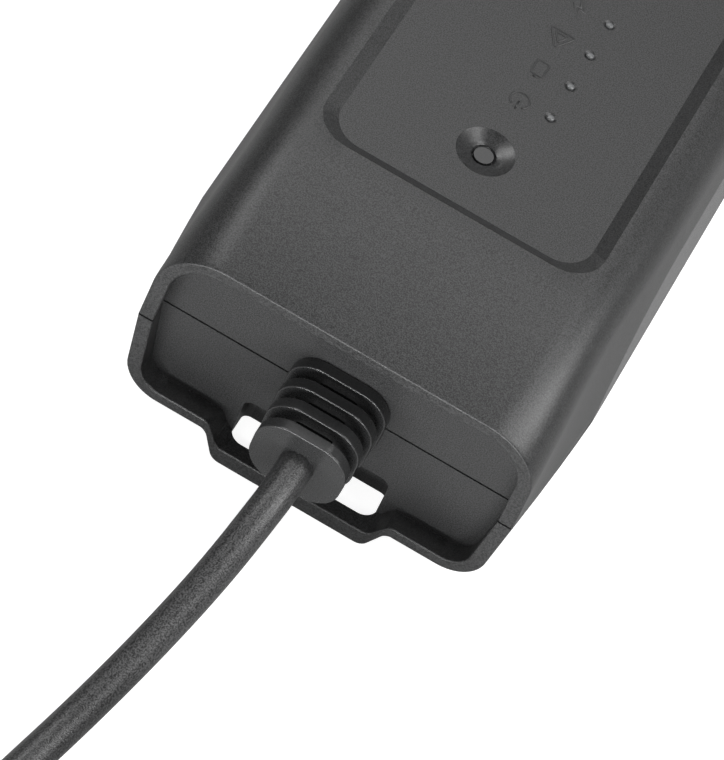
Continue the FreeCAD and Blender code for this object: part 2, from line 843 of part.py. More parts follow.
def bulk_capacitor():
    can = post(capacitor_radius, capacitor_place[0], capacitor_place[1], board_top, board_top + capacitor_height)
    return can.makeFillet(0.8, [edge for edge in can.Edges if edge.BoundBox.ZMin > board_top + 1])


def filter_capacitors():
    return Part.makeCompound([on_board(filter_size, place) for place in filter_places])


def surge_varistor():
    x, y = varistor_place
    disc = Part.makeCylinder(varistor_radius, varistor_thickness,
                             V(x, y, board_top + varistor_radius), V(0, 1, 0))
    foot = box(x - varistor_radius / 2, x + varistor_radius / 2, y, y + varistor_thickness,
               board_top, board_top + varistor_radius)
    return disc.fuse(foot).removeSplitter()


def fuse_link():
    """Cartridge fuse with its two end caps, lying on the board."""
    x, y = fuse_place
    level = board_top + fuse_radius
    start = x - fuse_length / 2
    barrel = Part.makeCylinder(fuse_radius * 0.85, fuse_length, V(start, y, level), V(1, 0, 0))
    caps = [Part.makeCylinder(fuse_radius, fuse_cap_length, V(end, y, level), V(1, 0, 0))
            for end in (start, start + fuse_length - fuse_cap_length)]
    return unite([barrel] + caps)


def buzzer():
    x, y = buzzer_place
    can = post(buzzer_radius, x, y, board_top, board_top + buzzer_height)
    return can.cut(post(buzzer_bore, x, y, board_top + buzzer_height / 2, board_top + buzzer_height + 1))


def ribbon_cable():
    """Flat lead from the main board up to the underside of the indicator board."""
    half = ribbon_thickness / 2
    run = 6.0
    outer = [(ribbon_landing, indicator_level, 0), (ribbon_landing, indicator_level - run - half, 2.4),
             (ribbon_distance - half, indicator_level - run - half, 3.0), (ribbon_distance - half, board_top, 0),
             (ribbon_distance + half, board_top, 0), (ribbon_distance + half, indicator_level - run + half, 3.8),
             (ribbon_landing + 2 * half, indicator_level - run + half, 1.6),
             (ribbon_landing + 2 * half, indicator_level, 0)]
    wire = rounded_wire(outer, lambda a, b: V(-ribbon_width / 2, a, b))
    return Part.Face(wire).extrude(V(ribbon_width, 0, 0))


def screws_at(kind, length, spots, seat, up):
    return Part.makeCompound([screw(kind, length, x, y, seat, up) for x, y in spots])


def coil_centre():
    end = cord_route[-1]
    return V(end[0] + coil_radius, end[1], 0)


def cord_coil():
    """Outer shape of the wound lead: its turns lie on one another."""
    centre = coil_centre()
    low = tie_thickness
    high = low + coil_layers * 2 * cord_radius
    inner = coil_radius - cord_radius
    outer = coil_radius + cord_radius
    rounding = cord_radius - 0.1
    corners = [(inner, low, rounding), (outer, low, rounding), (outer, high, rounding), (inner, high, rounding)]
    profile = Part.Face(rounded_wire(corners, lambda a, b: V(centre.x + a, centre.y, b)))
    return profile.revolve(centre, V(0, 0, 1), 360)


def cord_tie():
    """Strap round the coil at one place."""
    gap = tie_clearance
    inner = coil_radius - cord_radius - gap
    outer = coil_radius + cord_radius + gap
    low = tie_thickness
    high = low + coil_layers * 2 * cord_radius + gap
    hole = [(inner, low, 1.0), (outer, low, 1.0), (outer, high, 3.0), (inner, high, 3.0)]
    wall = tie_thickness
    skin = [(inner - wall, low - wall, 1.8), (outer + wall, low - wall, 1.8),
            (outer + wall, high + wall, 4.0), (inner - wall, high + wall, 4.0)]
    def face(corners):
        return Part.Face(rounded_wire(corners, lambda a, b: V(a, -tie_width / 2, b)))
    band = face(skin).cut(face(hole)).extrude(V(0, tie_width, 0))
    band.rotate(V(0, 0, 0), V(0, 0, 1), tie_angle)
    band.translate(coil_centre())
    return band


def plug_place():
    """Point on the plug's axis where its boot begins."""
    return V(*plug_lead_route[-1])


def turned(profile, start):
    """Solid turned about the plug's axis; profile holds (distance, radius) from a start point."""
    points = [V(start.x + radius, start.y - distance, start.z) for distance, radius in profile]
    ends = [V(start.x, points[-1].y, start.z), V(start.x, points[0].y, start.z)]
    outline = Part.Face(Part.makePolygon(points + ends + points[:1]))
    return outline.revolve(start, V(0, 1, 0), 360)


def plug_strain_relief():
    start = plug_place()
    step = plug_boot_length / (2 * plug_ring_count - 1)
    profile = []
    for index in range(2 * plug_ring_count - 1):
        radius = plug_boot_radius + plug_boot_growth * (index // 2)
        radius -= 0.9 if index % 2 else 0.0
        profile += [(index * step, radius), ((index + 1) * step, radius)]
    return turned(profile, start)


def plug_body():
    """Round face, waisted grip and tapering tail."""
    start = plug_place() - V(0, plug_boot_length, 0)
    face_start = plug_length - plug_face_length
    profile = [(0.0, plug_tail_radius), (face_start * 0.35, plug_grip_radius - 1.5),
               (face_start * 0.7, plug_grip_radius), (face_start, plug_radius - 1.0),
               (face_start + 1.5, plug_radius), (plug_length - 0.8, plug_radius),
               (plug_length, plug_radius - 0.8)]
    body = turned(profile, start)
    tip = start - V(0, plug_length, 0)
    for side in (1, -1):
        hole = Part.makeCylinder(pin_root_radius, pin_root, tip + V(side * pin_pitch / 2, 0, 0), V(0, 1, 0))
        body = body.cut(hole)
    for side in (1, -1):
        inner = plug_radius - 2.2
        z0, z1 = sorted((side * inner, side * (plug_radius + 1)))
        notch = box(tip.x - contact_width / 2 - 1, tip.x + contact_width / 2 + 1, tip.y - 1,
                    tip.y + contact_length, tip.z + z0, tip.z + z1)
        body = body.cut(notch)
    return body


def plug_pins():
    tip = plug_place() - V(0, plug_boot_length + plug_length, 0)
    pins = []
    for side in (1, -1):
        seat = tip + V(side * pin_pitch / 2, 0, 0)
        root = Part.makeCylinder(pin_root_radius, pin_root, seat, V(0, 1, 0))
        pin = Part.makeCylinder(pin_radius, pin_length, seat, V(0, -1, 0))
        pin = pin.makeFillet(pin_tip_radius, [edge for edge in pin.Edges if edge.BoundBox.YMax < tip.y - 1])
        pins.append(root.fuse(pin).removeSplitter())
    return Part.makeCompound(pins)


def plug_earth_contacts():
    tip = plug_place() - V(0, plug_boot_length + plug_length, 0)
    seat = plug_radius - 2.2
    strips = []
    for side in (1, -1):
        z0, z1 = sorted((side * seat, side * (seat + contact_thickness)))
        strips.append(box(tip.x - contact_width / 2, tip.x + contact_width / 2, tip.y + 0.5,
                          tip.y + contact_length, tip.z + z0, tip.z + z1))
    return Part.makeCompound(strips)


housing = {
    "upper_shell": upper_shell(),
    "lower_shell": lower_shell(),
    "shell_gasket": shell_gasket(),
    "shell_screws": screws_at(shell_screw, shell_screw_length, shell_screw_spots(), -screw_seat_depth, True),
    "strain_relief": strain_relief(),
    "output_gland": output_gland(),
    "mains_lead_tail": mains_lead_tail(),
    "cable_clamp": cable_clamp(),
    "clamp_screws": screws_at(small_screw, clamp_screw_length(), clamp_screw_spots(), clamp_height, False),
    "main_board": main_board(),
    "board_screws": screws_at(small_screw, small_screw_length, board_screw_spots(), board_top, False),
    "mains_terminal_block": terminal_block(3, board_start + block_inset, 1),
    "output_terminal_block": terminal_block(4, board_end - block_inset, -1),
    "live_relay": relay(1),
    "neutral_relay": relay(-1),
    "leakage_sensor": leakage_sensor(),
    "supply_transformer": supply_transformer(),
    "bulk_capacitor": bulk_capacitor(),
    "filter_capacitors": filter_capacitors(),
    "surge_varistor": surge_varistor(),
    "fuse_link": fuse_link(),
    "controller_chip": on_board(chip_size, chip_place),
    "buzzer": buzzer(),
    "ribbon_cable": ribbon_cable(),
    "indicator_board": indicator_board(),
    "indicator_screws": screws_at(small_screw, small_screw_length, indicator_screw_spots(), indicator_level, True),
    "indicator_lights": indicator_lights(),
    "light_pipes": light_pipes(),
    "button_switch": button_switch(),
    "switch_plunger": switch_plunger(),
    "push_button": push_button(),
}
for core in wire_ends():
    housing[core] = core_wire(core)

lying = {
    "mains_cord": tube(cord_route, cord_radius, "mains_cord"),
    "cord_coil": cord_coil(),
    "cord_tie": cord_tie(),
    "plug_lead": tube(plug_lead_route, cord_radius, "plug_lead"),
    "plug_strain_relief": plug_strain_relief(),
    "plug_body": plug_body(),
    "plug_pins": plug_pins(),
    "plug_earth_contacts": plug_earth_contacts(),
}

os.makedirs("parts", exist_ok=True)
for name, shape in housing.items():
    shape.translate(V(0, -body_length / 2, back_depth))
    shape.exportStep("parts/" + name + ".step")
for name, shape in lying.items():
    shape.exportStep("parts/" + name + ".step")
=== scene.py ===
"""Looks of a portable electric vehicle charger: grained black housing, ribbed boot, rubber lead and plug.

Lengths are metres, in the same frame as the model: the housing lies on its back on Z = 0 with its
panel up, and its mains end points along -Y.
"""
import math

import bmesh
import bpy
from mathutils import Matrix, Vector


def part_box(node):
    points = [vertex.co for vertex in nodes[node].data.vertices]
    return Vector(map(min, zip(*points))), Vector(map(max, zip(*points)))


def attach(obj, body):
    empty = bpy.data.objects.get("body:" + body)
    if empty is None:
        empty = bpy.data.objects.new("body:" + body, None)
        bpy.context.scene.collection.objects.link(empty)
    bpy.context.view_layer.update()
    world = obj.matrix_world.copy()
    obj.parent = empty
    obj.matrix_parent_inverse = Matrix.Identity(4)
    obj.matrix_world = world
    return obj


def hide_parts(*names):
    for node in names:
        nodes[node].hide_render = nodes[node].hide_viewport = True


bl_info = {
    "name": "Vehicle charger finishes",
    "version": (1, 0, 0),
    "blender": (4, 5, 0),
    "location": "View3D > Sidebar > Charger",
    "description": "Finishes, symbols, lead and stage for a portable vehicle charger",
    "category": "Object",
}

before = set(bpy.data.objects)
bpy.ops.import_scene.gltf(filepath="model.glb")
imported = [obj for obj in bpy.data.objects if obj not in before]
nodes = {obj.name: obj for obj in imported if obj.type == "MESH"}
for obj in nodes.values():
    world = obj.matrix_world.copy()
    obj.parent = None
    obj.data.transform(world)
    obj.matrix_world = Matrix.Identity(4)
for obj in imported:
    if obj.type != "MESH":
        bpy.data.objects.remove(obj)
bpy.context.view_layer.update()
MM = 0.001
LIGHT_COUNT = 4

# Control points of the lead: from the boot to the coil, two turns, and on to the plug
LEAD_ROUTE = [
    (0.0, -0.13055, 0.0352), (0.0, -0.139, 0.0352), (-0.0009, -0.149, 0.0336), (-0.0023, -0.160, 0.0296),
    (-0.0043, -0.171, 0.0248), (-0.0072, -0.1835, 0.0189), (-0.0104, -0.196, 0.0134),
    (-0.0138, -0.209, 0.0091), (-0.0176, -0.224, 0.0064), (-0.021, -0.239, 0.0052),
    (-0.023, -0.2545, 0.0055),
]
COIL_CENTRE = (0.027, -0.27)
COIL_RADIUS = 0.0517
COIL_LEVELS = (0.0055, 0.0145)
COIL_STEPS = 12
CLIMB_START = COIL_STEPS - 3.5
CLIMB_STEPS = 3.0
PLUG_ROUTE = [
    (-0.0232, -0.282, 0.0148), (-0.0232, -0.293, 0.0172), (-0.023, -0.304, 0.019), (-0.023, -0.314, 0.019),
]

# Section of a raised line: shares of its width to the side, and of its height
LINE_SECTION = [(-0.5, -0.3), (-0.42, 0.55), (-0.2, 1.0), (0.2, 1.0), (0.42, 0.55), (0.5, -0.3)]

# Area lights: name, place, aim, size in metres, power in watts
STAGE_LIGHTS = [
    ("top_softbox", (-0.3, 0.9, 1.29), (0.0, 0.0, 0.05), (0.7, 1.0), 4.4),
    ("right_softbox", (1.03, 0.3, 0.9), (0.03, -0.1, 0.05), (0.35, 0.75), 10.5),
    ("right_strip", (0.42, -0.08, 0.9), (0.0, -0.25, 0.04), (1.3, 0.12), 4.2),
    ("left_lamp", (-0.7, 0.36, 1.22), (0.0, -0.04, 0.07), (0.45, 0.45), 4.8),
    ("front_lamp", (-0.05, -0.8, 0.62), (0.0, -0.13, 0.04), (0.5, 0.12), 2.6),
    ("low_front_fill", (0.02, -0.62, 0.04), (0.0, -0.12, 0.04), (0.6, 0.07), 4.4),
]


class HousingLook(bpy.types.PropertyGroup):
    colour: bpy.props.FloatVectorProperty(
        name="Housing colour", description="Colour of the moulded shells", subtype="COLOR", size=3,
        min=0.0, max=1.0, default=(0.026, 0.0263, 0.0267))
    roughness: bpy.props.FloatProperty(
        name="Housing roughness", description="Roughness of the grained shells", subtype="FACTOR",
        default=0.4, min=0.05, max=1.0)
    grain: bpy.props.FloatProperty(
        name="Grain size", description="Distance between the grains of the moulded surface", unit="LENGTH",
        default=0.00033, min=0.0001, max=0.003)
    relief: bpy.props.FloatProperty(
        name="Grain height", description="Height of the moulded grain", unit="LENGTH",
        default=0.00005, min=0.0, max=0.0005, precision=6)
    edge_width: bpy.props.FloatProperty(
        name="Edge rounding", description="Width of the rounding on sharp edges", unit="LENGTH",
        default=0.0002, min=0.0, max=0.001, precision=5)
    dish_radius: bpy.props.FloatProperty(
        name="Dish radius", description="Radius of the smoother dish round the button", unit="LENGTH",
        default=0.0076, min=0.003, max=0.02)
    dish_roughness: bpy.props.FloatProperty(
        name="Dish roughness", description="Roughness of the dish round the button", subtype="FACTOR",
        default=0.3, min=0.05, max=1.0)
    button_roughness: bpy.props.FloatProperty(
        name="Button roughness", description="Roughness of the push button", subtype="FACTOR",
        default=0.225, min=0.05, max=1.0)
    side_roughness: bpy.props.FloatProperty(
        name="Side roughness", description="Roughness of the flat sides", subtype="FACTOR",
        default=0.24, min=0.05, max=1.0)
    side_reach: bpy.props.FloatProperty(
        name="Side place", description="Where the flat sides start, from the middle", unit="LENGTH",
        default=0.05505, min=0.01, max=0.2)
    side_lean: bpy.props.FloatProperty(
        name="Side lean", description="Lean of the flat sides", subtype="ANGLE", default=math.radians(7.5))
    parting_level: bpy.props.FloatProperty(
        name="Parting level", description="Height of the line where the shells meet", unit="LENGTH",
        default=0.0352, min=0.0, max=0.2)


class PanelLook(bpy.types.PropertyGroup):
    symbol_width: bpy.props.FloatProperty(
        name="Symbol line", description="Width of the raised lines of the symbols", unit="LENGTH",
        default=0.0006, min=0.0002, max=0.001)
    symbol_height: bpy.props.FloatProperty(
        name="Symbol height", description="Height of the symbols over the panel", unit="LENGTH",
        default=0.00016, min=0.00003, max=0.0005)
    symbol_offset: bpy.props.FloatProperty(
        name="Symbol place", description="Place of the symbols across the panel", unit="LENGTH",
        default=0.0002, min=-0.01, max=0.01)
    first_light: bpy.props.FloatProperty(
        name="First light", description="Place of the first light along the housing", unit="LENGTH",
        default=-0.0243, min=-0.1, max=0.1)
    pitch: bpy.props.FloatProperty(
        name="Light spacing", description="Distance from one light to the next", unit="LENGTH",
        default=0.0125, min=0.005, max=0.03)
    light_colour: bpy.props.FloatVectorProperty(
        name="Light window colour", description="Colour of the unlit light windows", subtype="COLOR", size=3,
        min=0.0, max=1.0, default=(0.13, 0.133, 0.136))


class LeadLook(bpy.types.PropertyGroup):
    colour: bpy.props.FloatVectorProperty(
        name="Lead colour", description="Colour of the rubber lead", subtype="COLOR", size=3,
        min=0.0, max=1.0, default=(0.034, 0.034, 0.0345))
    roughness: bpy.props.FloatProperty(
        name="Lead roughness", description="Roughness of the rubber lead", subtype="FACTOR",
        default=0.36, min=0.05, max=1.0)
    boot_colour: bpy.props.FloatVectorProperty(
        name="Boot colour", description="Colour of the ribbed boot", subtype="COLOR", size=3,
        min=0.0, max=1.0, default=(0.024, 0.0244, 0.0248))
    boot_roughness: bpy.props.FloatProperty(
        name="Boot roughness", description="Roughness of the ribbed boot", subtype="FACTOR",
        default=0.24, min=0.05, max=1.0)
    thickness: bpy.props.FloatProperty(
        name="Lead thickness", description="Outside diameter of the lead", unit="LENGTH",
        default=0.009, min=0.005, max=0.015)
    length: bpy.props.FloatProperty(
        name="Lead length", description="Length of the lead from the boot to the plug", unit="LENGTH",
        default=0.82, min=0.3, max=3.0)


class StageLook(bpy.types.PropertyGroup):
    floor_colour: bpy.props.FloatVectorProperty(
        name="Floor colour", description="Colour of the floor", subtype="COLOR", size=3,
        min=0.0, max=1.0, default=(0.42, 0.42, 0.42))
    floor_reach: bpy.props.FloatProperty(
        name="Floor reach", description="Distance from the middle of the floor to its edges", unit="LENGTH",
        default=6.0, min=1.0, max=20.0)
    floor_glow: bpy.props.FloatProperty(
        name="Floor glow", description="White that the camera sees on the floor", default=0.9,
        min=0.0, max=1.0)
    floor_gloss: bpy.props.FloatProperty(
        name="Floor in gloss", description="White of the floor in reflections and through glass",
        default=0.12, min=0.0, max=1.0)
    sky_gloss: bpy.props.FloatProperty(
        name="Background in gloss", description="White of the background in reflections and through glass",
        default=0.04, min=0.0, max=1.0)
    ambient: bpy.props.FloatProperty(
        name="Ambient light", description="Strength of the light from all round", default=0.1,
        min=0.0, max=2.0)
    azimuth: bpy.props.FloatProperty(
        name="Camera azimuth", description="Direction of the camera round the housing", subtype="ANGLE",
        default=math.radians(5.16))
    elevation: bpy.props.FloatProperty(
        name="Camera elevation", description="Height of the camera over the horizon", subtype="ANGLE",
        default=math.radians(50.76))
    roll: bpy.props.FloatProperty(
        name="Camera roll", description="Turn of the picture about the line of sight", subtype="ANGLE",
        default=math.radians(26.07))
    place: bpy.props.FloatVectorProperty(
        name="Camera place", description="Place of the camera", subtype="TRANSLATION", unit="LENGTH", size=3,
        default=(0.06529, -0.79667, 0.89411))
    lens: bpy.props.FloatProperty(
        name="Lens", description="Focal length in millimetres on a 36 mm frame", default=217.89,
        min=10.0, max=400.0)


def add_socket(group, name, kind, way, default=None):
    """Socket on the outside of a node group; the way is INPUT or OUTPUT."""
    socket = group.interface.new_socket(name=name, in_out=way, socket_type=kind)
    if default is not None:
        socket.default_value = default


def grain_group():
    """Fine spark-eroded grain: its height, and a mask of its flecks."""
    if "Moulded grain" in bpy.data.node_groups:
        return bpy.data.node_groups["Moulded grain"]
    group = bpy.data.node_groups.new("Moulded grain", "ShaderNodeTree")
    add_socket(group, "Size", "NodeSocketFloat", "INPUT", 0.0004)
    add_socket(group, "Stretch", "NodeSocketVector", "INPUT", (1.0, 1.0, 1.0))
    add_socket(group, "Height", "NodeSocketFloat", "OUTPUT")
    add_socket(group, "Flecks", "NodeSocketFloat", "OUTPUT")
    made, links = group.nodes.new, group.links.new
    source = made("NodeGroupInput")
    target = made("NodeGroupOutput")
    place = made("ShaderNodeTexCoord")
    stretch = made("ShaderNodeVectorMath")
    stretch.operation = "MULTIPLY"
    rate = made("ShaderNodeMath")
    rate.operation = "DIVIDE"
    rate.inputs[0].default_value = 1.0
    coarse = made("ShaderNodeTexNoise")
    coarse.inputs["Detail"].default_value = 2.0
    coarse.inputs["Roughness"].default_value = 0.55
    beads = made("ShaderNodeTexVoronoi")
    beads.feature = "SMOOTH_F1"
    beads.inputs["Smoothness"].default_value = 0.6
    blend = made("ShaderNodeMix")
    blend.data_type = "FLOAT"
    blend.inputs["Factor"].default_value = 0.4
    flecks = made("ShaderNodeMapRange")
    flecks.inputs["From Min"].default_value = 0.38
    flecks.inputs["From Max"].default_value = 0.62
    links(place.outputs["Object"], stretch.inputs[0])
    links(source.outputs["Stretch"], stretch.inputs[1])
    links(source.outputs["Size"], rate.inputs[1])
    for texture in (coarse, beads):
        links(stretch.outputs["Vector"], texture.inputs["Vector"])
        links(rate.outputs["Value"], texture.inputs["Scale"])
    links(coarse.outputs["Fac"], blend.inputs["A"])
    links(beads.outputs["Distance"], blend.inputs["B"])
    links(coarse.outputs["Fac"], flecks.inputs["Value"])
    links(blend.outputs["Result"], target.inputs["Height"])
    links(flecks.outputs["Result"], target.inputs["Flecks"])
    return group


def drift_group():
    """Colour with a slow change of tone and the flecks of the grain, and a mask of the slow change."""
    if "Tone drift" in bpy.data.node_groups:
        return bpy.data.node_groups["Tone drift"]
    group = bpy.data.node_groups.new("Tone drift", "ShaderNodeTree")
    add_socket(group, "Color", "NodeSocketColor", "INPUT", (0.1, 0.1, 0.1, 1.0))
    add_socket(group, "Flecks", "NodeSocketFloat", "INPUT", 0.5)
    add_socket(group, "Fleck Depth", "NodeSocketFloat", "INPUT", 0.2)
    add_socket(group, "Drift", "NodeSocketFloat", "INPUT", 0.1)
    add_socket(group, "Scale", "NodeSocketFloat", "INPUT", 18.0)
    add_socket(group, "Color", "NodeSocketColor", "OUTPUT")
    add_socket(group, "Mask", "NodeSocketFloat", "OUTPUT")
    made, links = group.nodes.new, group.links.new
    source = made("NodeGroupInput")
    target = made("NodeGroupOutput")
    place = made("ShaderNodeTexCoord")
    cloud = made("ShaderNodeTexNoise")
    cloud.inputs["Detail"].default_value = 3.0
    links(place.outputs["Object"], cloud.inputs["Vector"])
    links(source.outputs["Scale"], cloud.inputs["Scale"])

    def swing(value, depth):
        """1 plus a depth times how far a value lies over a half."""
        centred = made("ShaderNodeMath")
        centred.operation = "SUBTRACT"
        centred.inputs[1].default_value = 0.5
        scaled = made("ShaderNodeMath")
        scaled.operation = "MULTIPLY_ADD"
        scaled.inputs[2].default_value = 1.0
        links(value, centred.inputs[0])
        links(centred.outputs["Value"], scaled.inputs[0])
        links(depth, scaled.inputs[1])
        return scaled.outputs["Value"]

    both = made("ShaderNodeMath")
    both.operation = "MULTIPLY"
    links(swing(cloud.outputs["Fac"], source.outputs["Drift"]), both.inputs[0])
    links(swing(source.outputs["Flecks"], source.outputs["Fleck Depth"]), both.inputs[1])
    tint = made("ShaderNodeVectorMath")
    tint.operation = "SCALE"
    links(source.outputs["Color"], tint.inputs[0])
    links(both.outputs["Value"], tint.inputs["Scale"])
    links(tint.outputs["Vector"], target.inputs["Color"])
    links(cloud.outputs["Fac"], target.inputs["Mask"])
    return group


def spot_group():
    """Mask of a round spot seen from above: 1 inside its edge and 0 outside."""
    if "Round spot" in bpy.data.node_groups:
        return bpy.data.node_groups["Round spot"]
    group = bpy.data.node_groups.new("Round spot", "ShaderNodeTree")
    add_socket(group, "Centre", "NodeSocketVector", "INPUT", (0.0, 0.0, 0.0))
    add_socket(group, "Radius", "NodeSocketFloat", "INPUT", 0.01)
    add_socket(group, "Mask", "NodeSocketFloat", "OUTPUT")
    made, links = group.nodes.new, group.links.new
    source = made("NodeGroupInput")
    target = made("NodeGroupOutput")
    place = made("ShaderNodeTexCoord")
    flat = made("ShaderNodeVectorMath")
    flat.operation = "MULTIPLY"
    flat.inputs[1].default_value = (1.0, 1.0, 0.0)
    away = made("ShaderNodeVectorMath")
    away.operation = "DISTANCE"
    inside = made("ShaderNodeMath")
    inside.operation = "LESS_THAN"
    links(place.outputs["Object"], flat.inputs[0])
    links(flat.outputs["Vector"], away.inputs[0])
    links(source.outputs["Centre"], away.inputs[1])
    links(away.outputs["Value"], inside.inputs[0])
    links(source.outputs["Radius"], inside.inputs[1])
    links(inside.outputs["Value"], target.inputs["Mask"])
    return group


def sides_group():
    """Mask of the flat sides: 1 beyond a plane that leans in above and below a middle level."""
    if "Flat sides" in bpy.data.node_groups:
        return bpy.data.node_groups["Flat sides"]
    group = bpy.data.node_groups.new("Flat sides", "ShaderNodeTree")
    add_socket(group, "Middle", "NodeSocketVector", "INPUT", (0.0, 0.0, 0.0))
    add_socket(group, "Lean", "NodeSocketVector", "INPUT", (1.0, 0.0, 0.13))
    add_socket(group, "Reach", "NodeSocketFloat", "INPUT", 0.055)
    add_socket(group, "Mask", "NodeSocketFloat", "OUTPUT")
    made, links = group.nodes.new, group.links.new
    source = made("NodeGroupInput")
    target = made("NodeGroupOutput")
    place = made("ShaderNodeTexCoord")
    centred = made("ShaderNodeVectorMath")
    centred.operation = "SUBTRACT"
    folded = made("ShaderNodeVectorMath")
    folded.operation = "ABSOLUTE"
    along = made("ShaderNodeVectorMath")
    along.operation = "DOT_PRODUCT"
    beyond = made("ShaderNodeMath")
    beyond.operation = "GREATER_THAN"
    links(place.outputs["Object"], centred.inputs[0])
    links(source.outputs["Middle"], centred.inputs[1])
    links(centred.outputs["Vector"], folded.inputs[0])
    links(folded.outputs["Vector"], along.inputs[0])
    links(source.outputs["Lean"], along.inputs[1])
    links(along.outputs["Value"], beyond.inputs[0])
    links(source.outputs["Reach"], beyond.inputs[1])
    links(beyond.outputs["Value"], target.inputs["Mask"])
    return group


def polish(material, group, roughness, relief, **sizes):
    """Give a material another roughness where a mask is 1, and a share of its grain's relief there."""
    tree = material.node_tree
    shader = tree.nodes["Principled BSDF"]
    spot = tree.nodes.new("ShaderNodeGroup")
    spot.node_tree = group
    for key, value in sizes.items():
        spot.inputs[key].default_value = value
    blend = tree.nodes.new("ShaderNodeMix")
    blend.data_type = "FLOAT"
    blend.inputs["B"].default_value = roughness
    uneven = shader.inputs["Roughness"].links[0].from_socket
    tree.links.new(spot.outputs["Mask"], blend.inputs["Factor"])
    tree.links.new(uneven, blend.inputs["A"])
    tree.links.new(blend.outputs["Result"], shader.inputs["Roughness"])
    bump = shader.inputs["Normal"].links[0].from_node
    grain = bump.inputs["Height"].links[0].from_socket
    lower = tree.nodes.new("ShaderNodeMath")
    lower.operation = "MULTIPLY_ADD"
    lower.inputs[1].default_value = relief - 1.0
    lower.inputs[2].default_value = 1.0
    level = tree.nodes.new("ShaderNodeMath")
    level.operation = "MULTIPLY"
    tree.links.new(spot.outputs["Mask"], lower.inputs[0])
    tree.links.new(grain, level.inputs[0])
    tree.links.new(lower.outputs["Value"], level.inputs[1])
    tree.links.new(level.outputs["Value"], bump.inputs["Height"])


def finish(name, colour, roughness, grain=0.0004, relief=0.00003, flecks=0.15, drift=0.1, spread=0.06,
           stretch=(1.0, 1.0, 1.0), **plain):
    """Material with grain, tone drift and uneven gloss; plain values go straight to the shader."""
    material = bpy.data.materials.new(name)
    material.use_nodes = True
    material.diffuse_color = (*colour, 1.0)
    tree = material.node_tree
    shader = tree.nodes["Principled BSDF"]
    for key, value in plain.items():
        shader.inputs[key.replace("_", " ")].default_value = value
    texture = tree.nodes.new("ShaderNodeGroup")
    texture.node_tree = grain_group()
    texture.inputs["Size"].default_value = grain
    texture.inputs["Stretch"].default_value = stretch
    tone = tree.nodes.new("ShaderNodeGroup")
    tone.node_tree = drift_group()
    tone.inputs["Color"].default_value = (*colour, 1.0)
    tone.inputs["Fleck Depth"].default_value = flecks
    tone.inputs["Drift"].default_value = drift
    gloss = tree.nodes.new("ShaderNodeMapRange")
    gloss.inputs["To Min"].default_value = max(roughness - spread, 0.02)
    gloss.inputs["To Max"].default_value = roughness + spread
    bump = tree.nodes.new("ShaderNodeBump")
    bump.inputs["Distance"].default_value = relief
    bump.inputs["Strength"].default_value = 1.0
    links = tree.links.new
    links(texture.outputs["Flecks"], tone.inputs["Flecks"])
    links(tone.outputs["Color"], shader.inputs["Base Color"])
    links(tone.outputs["Mask"], gloss.inputs["Value"])
    links(gloss.outputs["Result"], shader.inputs["Roughness"])
    links(texture.outputs["Height"], bump.inputs["Height"])
    links(bump.outputs["Normal"], shader.inputs["Normal"])
    return material


def dress(node, material):
    """Give a piece of the model its finish."""
    mesh = nodes[node].data
    mesh.materials.clear()
    mesh.materials.append(material)


def round_edges(node, width):
    """Round the sharp edges of a piece a little, as a mould does."""
    weld = nodes[node].modifiers.new("Joined faces", "WELD")
    weld.merge_threshold = 0.000001
    bevel = nodes[node].modifiers.new("Rounded edges", "BEVEL")
    bevel.width = width
    bevel.segments = 2
    bevel.limit_method = "ANGLE"
    bevel.angle_limit = math.radians(26.0)
    bevel.harden_normals = True


def add_piece(name, mesh, material, body):
    """New piece that rides on a body, with its finish."""
    piece = bpy.data.objects.new(name, mesh)
    bpy.context.scene.collection.objects.link(piece)
    mesh.materials.append(material)
    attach(piece, body)
    return piece


def mesh_of(form, name):
    """Smooth mesh of a finished form, with its normals outside."""
    mesh = bpy.data.meshes.new(name)
    bmesh.ops.recalc_face_normals(form, faces=form.faces)
    form.to_mesh(mesh)
    form.free()
    for polygon in mesh.polygons:
        polygon.use_smooth = True
    return mesh


class CHARGER_OT_housing(bpy.types.Operator):
    """Grained black plastic on both shells"""
    bl_idname = "charger.housing"
    bl_label = "Housing finish"

    def execute(self, context):
        look = context.scene.charger_housing
        plastic = finish("Grained housing plastic", tuple(look.colour), look.roughness, grain=look.grain,
                         relief=look.relief, flecks=1.4, drift=0.12, spread=0.04)
        low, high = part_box("push_button")
        middle = (low + high) / 2
        polish(plastic, spot_group(), look.dish_roughness, relief=0.0, Centre=(middle.x, middle.y, 0.0),
               Radius=look.dish_radius)
        polish(plastic, sides_group(), look.side_roughness, relief=0.5,
               Middle=(0.0, 0.0, look.parting_level), Lean=(1.0, 0.0, math.tan(look.side_lean)),
               Reach=look.side_reach)
        for node in ("upper_shell", "lower_shell"):
            dress(node, plastic)
            round_edges(node, look.edge_width)
        return {"FINISHED"}


class CHARGER_OT_button(bpy.types.Operator):
    """Satin plastic on the button"""
    bl_idname = "charger.button"
    bl_label = "Button finish"

    def execute(self, context):
        look = context.scene.charger_housing
        satin = finish("Satin button plastic", tuple(look.colour), look.button_roughness, grain=0.0003,
                       relief=0.00001, flecks=0.3, spread=0.02)
        dress("push_button", satin)
        return {"FINISHED"}


